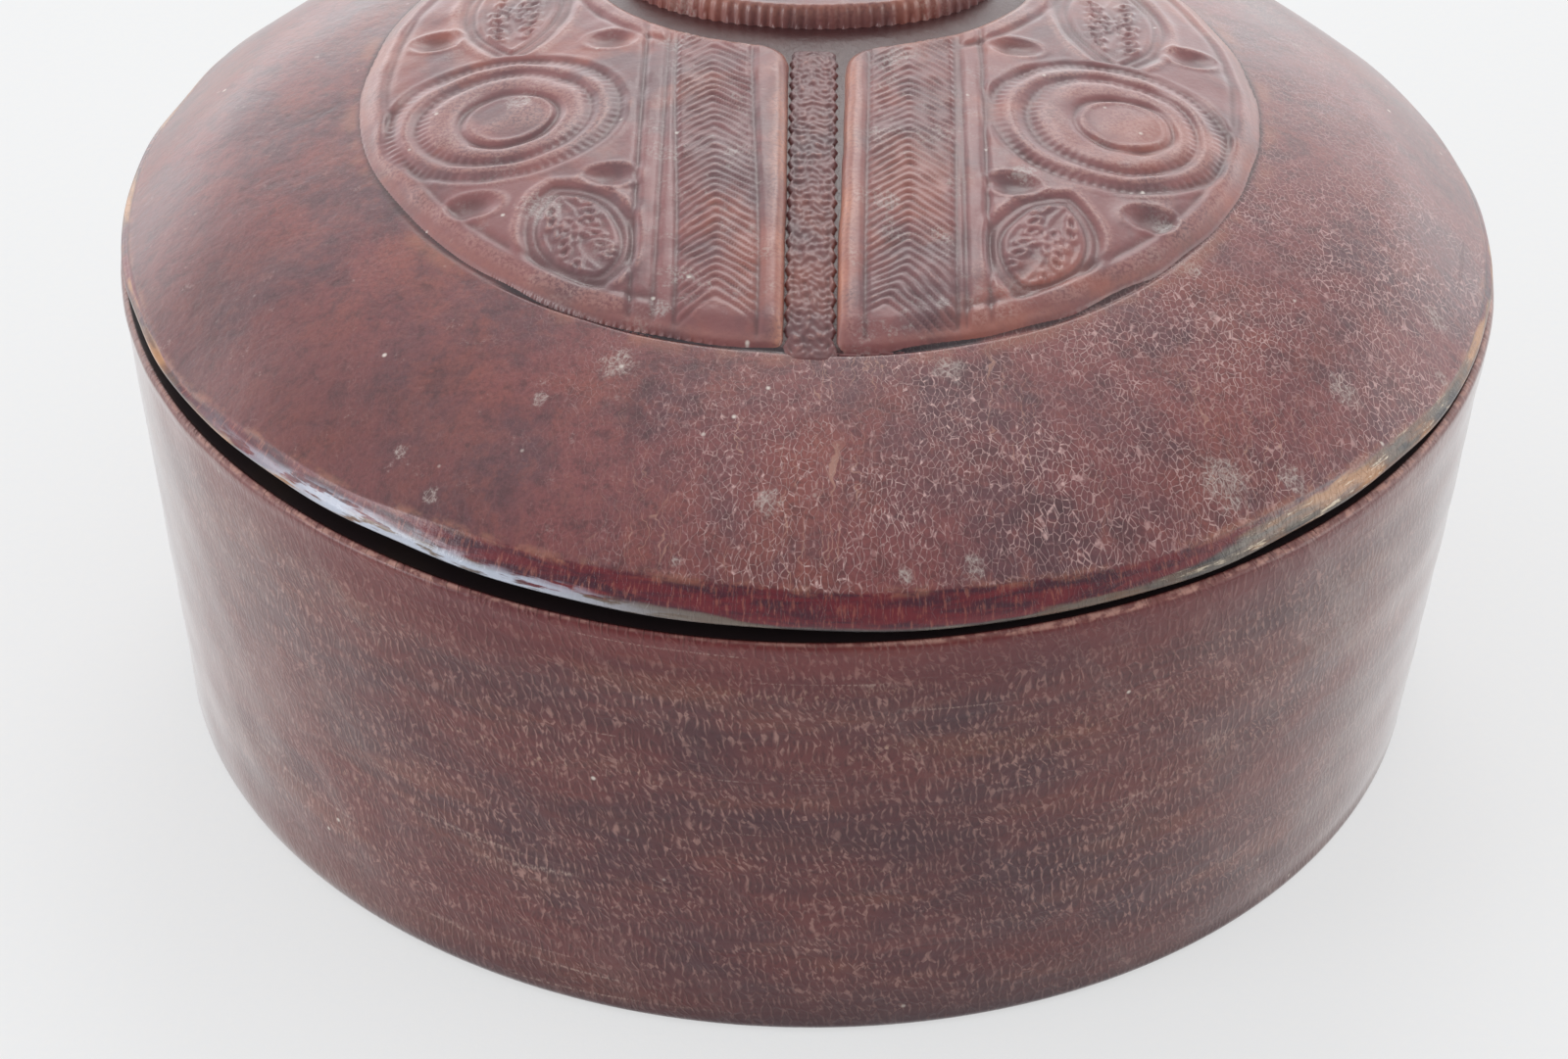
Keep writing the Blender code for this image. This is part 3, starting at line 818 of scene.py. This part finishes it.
def build_lid_skin():
    """Dome, crease, upright edge band, lip folded under, and the flesh side."""
    turn = ring_angles(TURNS)[:, None]
    bottom = RIM_Z + round_the_lid(GAP_STOPS, turn) + 0.10 * ring_waves(41, turn, 7, 23)
    band = round_the_lid(BAND_STOPS, turn) + 0.22 * ring_waves(43, turn, 9, 17)
    crease_z = bottom + band
    crease_r = LID_RADIUS - 0.15 - 0.42 * band
    share = np.sin(np.linspace(0.0, 1.0, 78) * 1.25) / math.sin(1.25)
    inner = np.unique(np.concatenate([share * SHOULDER, np.arange(47.6, 50.2, 0.18)]))
    inner[0] = AXIS_HOLE
    radius = np.repeat(inner[None, :], TURNS, 0)
    x, y = plan(radius, turn)
    around = np.abs(np.degrees(turn))
    # glued-down hollow round the front of the panels
    glue = 0.45 * smooth(70.0, 25.0, around) * (0.65 + 0.35 * ring_waves(45, turn, 8, 19))
    height = dome(radius) + dome_waves(x, y) - glue * groove(radius - 48.85, 0.30)
    height += 0.035 * plane_waves(46, x, y, 14, 9.0, 30.0)
    start = height[:, -1:]
    slope = float(dome(SHOULDER + 0.05) - dome(SHOULDER - 0.05)) / 0.1
    part = np.linspace(0.0, 1.0, 26)[None, 1:]
    run = crease_r - 0.35 - SHOULDER
    top_z = hermite(part, start, slope, crease_z + 0.30, -0.85, run)
    top_r = SHOULDER + part * run
    bulge = 0.12 * ring_waves(44, turn, 9, 29)
    steps = [(crease_r - 0.10, crease_z + 0.12), (crease_r + 0.06, crease_z - 0.10),
             (crease_r + 0.16, crease_z - 0.30)]
    wall_low = bottom + 0.75
    for share in (0.25, 0.5, 0.75, 1.0):
        lean = (crease_r + 0.16) + (LID_RADIUS + bulge - crease_r - 0.20) * share ** 0.8
        steps.append((lean, crease_z - 0.30 + (wall_low - crease_z + 0.30) * share))
    steps += [(LID_RADIUS - 0.02 + bulge, bottom + 0.40), (LID_RADIUS - 0.22 + bulge, bottom + 0.12),
              (LID_RADIUS - 0.60 + bulge, bottom)]
    steps += [(r, bottom) for r in (73.2, 72.0, 71.2, 70.7)]
    steps += [(HEM, bottom + 0.2), (HEM, bottom + 0.8)]
    steps += [(r, bottom + 1.0) for r in (70.8, 71.8, 72.8)]
    flesh = np.concatenate([np.linspace(71.6, SHOULDER, 10), inner[::-4]])
    flesh[-1] = AXIS_HOLE
    flesh_r = np.repeat(flesh[None, :], TURNS, 0)
    edge_side = smooth(SHOULDER, 72.0, flesh_r)
    flesh_z = dome(flesh_r) + dome_waves(*plan(flesh_r, turn)) * (1 - edge_side) - 1.15
    flesh_z = np.maximum(flesh_z - 0.35 * edge_side, bottom + 1.25)
    parts_r = [radius, top_r] + [np.broadcast_to(r, turn.shape) for r, _ in steps] + [flesh_r]
    parts_z = [height, top_z] + [np.broadcast_to(z, turn.shape) for _, z in steps] + [flesh_z]
    all_r, all_z = np.concatenate(parts_r, 1), np.concatenate(parts_z, 1)
    values = {"crease": all_r - crease_r, "edge_up": all_z - bottom}
    values["crease"][:, -len(flesh):] = -5.0
    ring_piece("lid_skin", all_r[:, ::-1], np.repeat(turn, all_r.shape[1], 1), all_z[:, ::-1],
               {label: numbers[:, ::-1] for label, numbers in values.items()})

    def lining_shape(radius, angle, height):
        return radius, height + 0.8 * dome_waves(*plan(radius, angle))

    top = [(max(AXIS_HOLE, r), float(dome(r)) - 4.0) for r in np.linspace(0.0, 64.0, 40)]
    rim = [(66.2, 59.4), (68.2, 58.0), (69.3, 57.75), (69.6, 58.1)]
    under = [(max(AXIS_HOLE, r), float(dome(r)) - 3.5) for r in np.linspace(64.0, 0.0, 20)]
    turned("lining_of_lid", top + rim + under, lining_shape, LINING_TURNS)


# ---- stamped panels

def channel_half(y, side):
    """Half width of the channel, which opens slightly towards the back."""
    share = np.clip((y + 48.0) / 48.0, 0.0, 1.2)
    return 2.60 + (0.90 if side > 0 else 0.15) * share


def well_distance(x, y):
    """Distance outside the egg-shaped well, near enough for its border."""
    deep = np.where(y > WELL[1], WELL_BACK, WELL_FRONT)
    reach = np.hypot((x - WELL[0]) / WELL_WIDE, (y - WELL[1]) / deep)
    return (reach - 1.0) * (WELL_WIDE + deep) / 2


def rounded(inside, height, width, drop):
    """Rounded shoulder of a sheet, falling away outside its edge."""
    return np.where(inside < 0.0, inside * drop, height * rolled(inside, width))


def rolled(inside, width):
    """Rounded shoulder, 0 at an edge and 1 a width inside it."""
    return np.sqrt(np.clip(1.0 - (1.0 - np.clip(inside / width, 0.0, 1.0)) ** 2, 0.0, 1.0))


def lobe_distances(side, x, y):
    """Distances inside a panel from its outer edge, the channel and the well."""
    wobble = 0.18 * plane_waves(51 + side, x, y, 8, 9.0, 30.0)
    rim = MEDALLION_RADIUS - np.hypot(x, y) + wobble
    channel = side * (x - CHANNEL_X) - channel_half(y, side) + 0.5 * wobble
    return rim, channel, well_distance(x, y) + 0.6 * wobble


def lobe_edge(side):
    def edge(x, y):
        rim, channel, well = lobe_distances(side, x, y)
        return soft_min(rim, soft_min(channel, well, 3.4), 1.2)
    return edge


def ellipse_reach(x, y, centre, wide, deep, turn=0.0):
    dx, dy = x - centre[0], y - centre[1]
    a = dx * math.cos(turn) + dy * math.sin(turn)
    b = -dx * math.sin(turn) + dy * math.cos(turn)
    return np.hypot(a / wide, b / deep)


def pointed_leaf(across, y, tip, heading, length, width):
    """Signed distance inside a pointed leaf from its tip; length and width are half sizes."""
    ax, ay = math.cos(heading), math.sin(heading)
    cx, cy = tip[0] + ax * length, tip[1] + ay * length
    along = (across - cx) * ax + (y - cy) * ay
    aside = -(across - cx) * ay + (y - cy) * ax
    radius = (length ** 2 + width ** 2) / (2 * width)
    right = radius - np.hypot(along, aside - (width - radius))
    left = radius - np.hypot(along, aside + (width - radius))
    return np.minimum(left, right), along, aside


def petal(along, aside, centre, long, wide, turn):
    """Outlined small leaf: raised rim round a shallow middle."""
    reach = ellipse_reach(along, aside, centre, long, wide, turn)
    return groove(reach - 0.85, 0.30) - 0.3 * np.exp(-(reach / 0.5) ** 2)


def sprig(along, aside, seed):
    """Stamped spray: a wavy stem, paired small leaves and a flower of five petals."""
    random = np.random.default_rng(seed)
    total = 0.5 * groove(aside - 0.5 * np.sin(along * 0.6), 0.20) * smooth(7.4, 6.6, np.abs(along))
    for place in np.arange(-6.2, 5.0, 1.75):
        for side in (-1.0, 1.0):
            lean = side * (0.7 + random.uniform(-0.25, 0.25))
            shift = 0.4 * random.uniform(-1, 1)
            centre = (place + shift, side * (1.75 + random.uniform(-0.25, 0.35)))
            total += petal(along, aside, centre, 1.15, 0.55, lean)
    for number in range(5):
        turn = number * 2 * math.pi / 5 + 0.3
        centre = (-0.6 + 1.25 * math.cos(turn), 1.25 * math.sin(turn))
        total += 0.8 * petal(along, aside, centre, 0.85, 0.50, turn)
    return np.clip(total, -0.3, 1.0)


# rosettes: middle of the rings, middle of the disc, ring half sizes and their slant
ROSETTES = {-1: ((32.7, -11.1), (32.0, -11.7), (12.3, 11.1), 0.28),
            1: ((31.3, -10.8), (32.9, -10.6), (12.4, 11.6), -0.10)}


def rosette(across, y, side):
    """Round stamp: a disc in a plain ring, and two soft ridges with milled outer edges."""
    middle, pivot, (wide, deep), slant = ROSETTES[side]
    outer = ellipse_reach(across, y, middle, wide, deep, slant)
    inner = ellipse_reach(across, y, pivot, 4.75, 4.45)
    share = np.clip((outer * 12.0 - 5.0) / 5.0, 0.0, 1.0)
    centre = [a + (b - a) * share for a, b in zip(pivot, middle)]
    reach = 12.0 * np.hypot((across - centre[0]) / wide, (y - centre[1]) / deep)
    turn = np.arctan2(y - middle[1], across - middle[0])
    teeth = 0.5 + 0.5 * np.cos(54 * turn + 0.6 * np.sin(3 * turn))
    teeth_out = 0.5 + 0.5 * np.cos(74 * turn + 0.8 * np.sin(2 * turn))
    disc = 0.22 * np.clip(1.0 - inner ** 2, 0.0, 1.0)
    disc += grooves(inner, (0.20, 0.93, 0.09), (-0.33, 1.10, 0.45 / 4.6))
    ridges = grooves(reach, (-0.29, 9.15, 0.60), (0.28, 10.4, 0.75), (-0.28, 12.3, 0.65),
                     (0.14, 13.1, 0.50), (-0.15 * teeth, 8.6, 0.55), (-0.16 * teeth_out, 11.7, 0.60))
    return disc + ridges + 0.30 * groove(reach - 7.2, 1.35) * smooth(1.12, 1.3, inner), reach


# herringbone bands: place of the point line, half width, pitch of the rows, slope of the arms
BANDS = {-1: (9.5, 9.35, 3.85, 1.22, 0.84), 1: (8.6, 10.05, 4.35, 1.20, 0.86)}


def chevrons(across, y, side):
    """Herringbone band between two lines, its points towards the back."""
    point, middle, half, pitch, slope = BANDS[side]
    shift = 1.3 * smooth(-40.0, 0.0, y)
    if side > 0:
        shift = 0.3 * shift
        point = point - 1.4 + 2.6 * smooth(-45.0, -36.0, y)
    from_point = across - point - shift
    arm = np.where(from_point * side > 0, 1.0, 1.12)
    bend = slope * arm * (np.hypot(from_point, 0.25) - 0.25)
    uneven = 0.20 * plane_waves(61 + side, across, y, 6, 5.0, 16.0)
    uneven += 0.10 * plane_waves(65 + side, across, y, 10, 1.4, 5.0)
    part = (y + bend + uneven) / pitch
    part = part - np.floor(part)
    rows = 0.5 - 0.5 * np.cos(2 * math.pi * part)
    band = smooth(half + 0.25, half - 0.35, np.abs(across - middle - shift))
    lines = groove(np.abs(across - middle - shift) - half - 0.25, 0.32)
    live = smooth(-0.3, 0.3, y + bend + 43.4)
    strength = 0.72 + 0.16 * plane_waves(63 + side, across, y, 7, 6.0, 18.0)
    strength += 0.22 * plane_waves(67 + side, across, y, 14, 1.0, 4.0)
    return band * live * strength * (0.36 * rows ** 1.3 - 0.20) - 0.26 * lines


def lobe_top(side):
    """Lift, relief for dye and painted shade, and wear over a panel: bands, rosette, leaves, dents and
    borders.
    """
    def top(x, y, inside):
        across = side * (x - CHANNEL_X)
        rim, channel, well = lobe_distances(side, x, y)
        inner_edge = np.minimum(channel, well)
        field = smooth(16.6, 17.6, across)
        sides = smooth(0.5, 3.0, rim - inner_edge)
        height = LOBE_EDGE_LIFT + (LOBE_LIFT - LOBE_EDGE_LIFT) * smooth(0.2, 3.0, rim)
        blend = smooth(30.0, 75.0, np.abs(np.degrees(front_angle(x, y)))) * (1.0 - sides)
        lift = rounded(inside, height, 0.75 + 0.35 * sides + 1.3 * blend, 3.0)
        relief = grooves(across, (-0.24, 15.6, 0.36), (-0.30, 18.0, 0.36))
        relief += 0.10 * groove(inner_edge - 1.1, 0.9)
        relief += chevrons(across, y, side)
        shaky = 0.15 * plane_waves(101 + side, x, y, 8, 5.0, 14.0)
        shaky_too = 0.12 * plane_waves(103 + side, x, y, 8, 4.0, 12.0)
        rings, reach = rosette(across + shaky, y + shaky_too, side)
        rings = rings * (0.72 + 0.18 * plane_waves(105 + side, x, y, 9, 4.0, 15.0))
        relief += rings * smooth(14.2, 13.6, reach) * smooth(16.0, 17.2, across)
        outside = smooth(13.2, 14.0, reach)
        leaves = (((26.6, -24.4), 250.0, 8.8, 5.8, 71), ((32.9, -0.2), 91.0, 12.4, 6.4, 72))
        for tip, heading, length, width, seed in leaves:
            leaf, along, aside = pointed_leaf(across + shaky, y + shaky_too, tip,
                                              math.radians(heading), length, width)
            within = smooth(0.0, 0.9, leaf)
            shape = grooves(leaf, (0.18, -0.6, 0.55), (-0.17, 0.5, 0.45), (-0.16, 1.6, 0.28),
                            (0.12, 2.2, 0.30)) - 0.11 * within
            shape += within * 0.24 * sprig(along, aside, seed) * smooth(1.7, 2.3, leaf)
            relief += outside * field * shape * smooth(2.2, 3.2, rim)
        pale = 0.0 * x
        for centre in ((21.8, 2.9), (41.2, 6.5), (34.8, -26.6), (20.8, -23.8)):
            dent = ellipse_reach(across, y, centre, 2.2, 1.5)
            pale += 0.36 * np.exp(-dent ** 3)
            relief += 0.14 * groove(dent - 1.45, 0.25) - 0.60 * np.exp(-dent ** 3)
        border = grooves(rim, (-0.22, 3.0, 0.55), (0.16, 1.7, 0.9))
        relief += smooth(14.0, 17.0, across) * border
        well_line = grooves(well, (-0.20, 3.1, 0.38), (0.10, 2.2, 0.5))
        relief += well_line * smooth(15.4, 16.4, across)
        relief += 0.05 * plane_waves(81 + side, x, y, 18, 2.4, 14.0)
        relief = relief * smooth(0.25, 1.3, inside)
        wear = groove(inner_edge - 0.30, 0.65) + 0.30 * groove(rim - 0.6, 0.5)
        wear = np.clip(wear + 0.5 * groove(channel - 0.8, 1.3) * smooth(-46, -20, y), 0.0, 1.0)
        wear = wear * (0.75 + 0.25 * plane_waves(83, x, y, 9, 4.0, 20.0))
        return lift + relief, relief + pale, wear
    return top


def strip_edge(x, y):
    across = np.abs(x - CHANNEL_X)
    scallop = 0.22 * np.cos(y * 2 * math.pi / 2.1) ** 3
    wide = (STRIP_HIGH[0] - STRIP_LOW[0]) / 2 - 0.10 - across + scallop
    return soft_min(soft_min(wide, y - STRIP_LOW[1], 1.4), STRIP_HIGH[1] - y, 1.4)


def strip_top(x, y, inside):
    across = x - CHANNEL_X
    uneven = 0.5 * plane_waves(91, x, y, 8, 3.0, 12.0)
    zigzag = np.abs(((across / 1.25 + 1.0) % 2.0) - 1.0)
    rows = np.cos(2 * math.pi * (y + 1.3 * zigzag + uneven) / 1.05)
    crumple = plane_waves(92, x, y, 40, 0.75, 2.2)
    relief = 0.040 * rows + 0.080 * crumple - 0.10 * groove(np.abs(across) - 1.85, 0.22)
    relief = relief * smooth(0.0, 0.5, inside)
    end = smooth(STRIP_LOW[1], STRIP_LOW[1] + 4.0, y)
    return rounded(inside, 0.10 + 0.38 * end, 0.35, 2.0) + relief, relief, 0.0 * relief


def boss_edge(x, y):
    reach = ellipse_reach(x, y, BOSS, BOSS_WIDE, BOSS_DEEP)
    turn = np.arctan2(y - BOSS[1], x - BOSS[0])
    notches = 0.14 * np.cos(84 * turn)
    return (1.0 - reach) * (BOSS_WIDE + BOSS_DEEP) / 2 + notches * smooth(0.93, 0.99, reach)


def boss_top(x, y, inside):
    reach = ellipse_reach(x, y, BOSS, BOSS_WIDE, BOSS_DEEP) * 18.0
    turn = np.arctan2(y - BOSS[1], x - BOSS[0])
    teeth = 0.5 + 0.5 * np.cos(64 * turn)
    relief = grooves(reach, (-0.22, 14.2, 0.45), (0.10, 15.4, 0.7), (-0.24, 5.6, 0.45),
                     (-0.12 - 0.14 * teeth, 10.2, 0.6))
    relief += 0.18 * np.clip(1 - (reach / 5.2) ** 2, 0, 1)
    relief += 0.05 * plane_waves(96, x, y, 10, 3.0, 12.0)
    relief = relief * smooth(0.5, 1.6, inside)
    return rounded(inside, BOSS_LIFT, 0.9, 4.0) + relief, relief, 0.6 * groove(inside - 0.6, 0.5)


def build_panels():
    """The two stamped panels, the strip between them and the boss."""
    reach = MEDALLION_RADIUS + 0.8
    for name, side, low, high in (("panel_left", -1, -reach, CHANNEL_X - 1.0),
                                  ("panel_right", 1, CHANNEL_X + 1.0, reach)):
        relief_sheet(name, (low, -reach), (high, reach), 0.27, lobe_edge(side), lobe_top(side), 0.35)
    relief_sheet("strip_stamped", STRIP_LOW - 0.9, STRIP_HIGH + 0.9, 0.15, strip_edge, strip_top, 0.3)
    relief_sheet("boss_cap", BOSS_LOW - 0.9, BOSS_HIGH + 0.9, 0.22, boss_edge, boss_top, 0.3)


# ---- stage

def build_stage():
    """Wide pale floor."""
    count = 96
    turn = np.linspace(0, 2 * math.pi, count, endpoint=False)
    rings = [np.zeros((1, 3))]
    for radius in (200.0, 900.0, 4000.0):
        rings.append(np.stack([radius * np.cos(turn), radius * np.sin(turn), 0 * turn], -1))
    points = np.concatenate(rings)
    mesh = bpy.data.meshes.new("floor")
    faces = [(0, 1 + i, 1 + (i + 1) % count) for i in range(count)]
    for ring in (0, 1):
        start = 1 + ring * count
        for i in range(count):
            j = (i + 1) % count
            faces.append((start + i, start + count + i, start + count + j, start + j))
    mesh.from_pydata((points * MM - np.array([0, 0, 0.00002])).tolist(), [], faces)
    floor = bpy.data.objects.new("floor", mesh)
    bpy.context.scene.collection.objects.link(floor)
    mesh.materials.append(materials["floor"])


def build_light():
    """Pale room: bright low down at the sides and back, darker behind the viewer."""
    scene = bpy.context.scene
    scene.view_settings.view_transform = "Standard"
    scene.world = bpy.data.worlds.new("soft_room")
    scene.world.use_nodes = True
    room = Nodes(scene.world.node_tree)
    x, y, z = room.split(room.value("ShaderNodeTexCoord", "Generated"))
    bright = room.remap(z, 0.0, 0.60, ROOM_LOW, ROOM_HIGH)
    bright = bright * room.remap(y, -0.80, -0.05, ROOM_FRONT, 1.0)
    bright = bright * room.remap(x, -0.1, 0.9, 1.0, ROOM_RIGHT)
    background = room.tree.nodes["Background"]
    room.put(background.inputs["Strength"], bright)
    room.put(background.inputs["Color"], (0.985, 0.99, 1.0, 1.0))
    for name, place, aim, size, power, colour in LAMPS:
        data = bpy.data.lights.new(name, "AREA")
        data.shape = "DISK"
        data.size = size
        data.energy = power
        data.color = colour
        lamp = bpy.data.objects.new(name, data)
        scene.collection.objects.link(lamp)
        lamp.location = place
        way = Vector(place) - Vector((0.0, 0.0, aim))
        lamp.rotation_euler = way.to_track_quat("Z", "Y").to_euler()


def build_camera():
    """Standing at the table, looking down at about 36 degrees, slightly rolled."""
    elevation = math.radians(36.21)
    roll = math.radians(1.21)
    distance = 0.46267
    target = np.array([-0.00194, 0.0, 0.01264])
    forward = np.array([0.0, math.cos(elevation), -math.sin(elevation)])
    level = np.array([1.0, 0.0, 0.0])
    upright = np.array([0.0, math.sin(elevation), math.cos(elevation)])
    right = math.cos(roll) * level + math.sin(roll) * upright
    up = -math.sin(roll) * level + math.cos(roll) * upright
    place = target - forward * distance
    data = bpy.data.cameras.new("camera")
    data.sensor_width = 36.0
    data.lens = 90.8
    data.clip_start = 0.01
    camera = bpy.data.objects.new("camera", data)
    bpy.context.scene.collection.objects.link(camera)
    columns = [right, up, -forward, place]
    camera.matrix_world = Matrix([[float(column[row]) for column in columns] for row in range(3)]
                                 + [[0.0, 0.0, 0.0, 1.0]])
    bpy.context.scene.camera = camera


# ---- put together

materials = {
    "body": body_leather(),
    "lid": lid_leather(),
    "panel": panel_leather("panel_leather", 1.18, 0.36),
    "strip": panel_leather("strip_leather", 0.90, 0.46),
    "lining": raw_leather("lining_hide", (0.20, 0.095, 0.050), (0.31, 0.17, 0.10), 1.4, 0.82),
    "rawhide": raw_leather("rawhide", (0.36, 0.23, 0.11), (0.50, 0.36, 0.20), 0.9, 0.62),
    "under": raw_leather("under_leather", (0.055, 0.018, 0.014), (0.10, 0.040, 0.030), 1.8, 0.6),
    "board": board_material(),
    "floor": floor_material(),
}
NODE_FINISH = {"base_leather": "under", "wall_core": "board", "base_board": "board",
               "base_lining": "lining", "lid_core": "board", "lid_hoop": "rawhide"}
for node, finish in NODE_FINISH.items():
    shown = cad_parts[node]
    shown.data.materials.clear()
    shown.data.materials.append(materials[finish])

build_camera()
build_body()
build_lid_skin()
build_panels()
build_stage()
build_light()
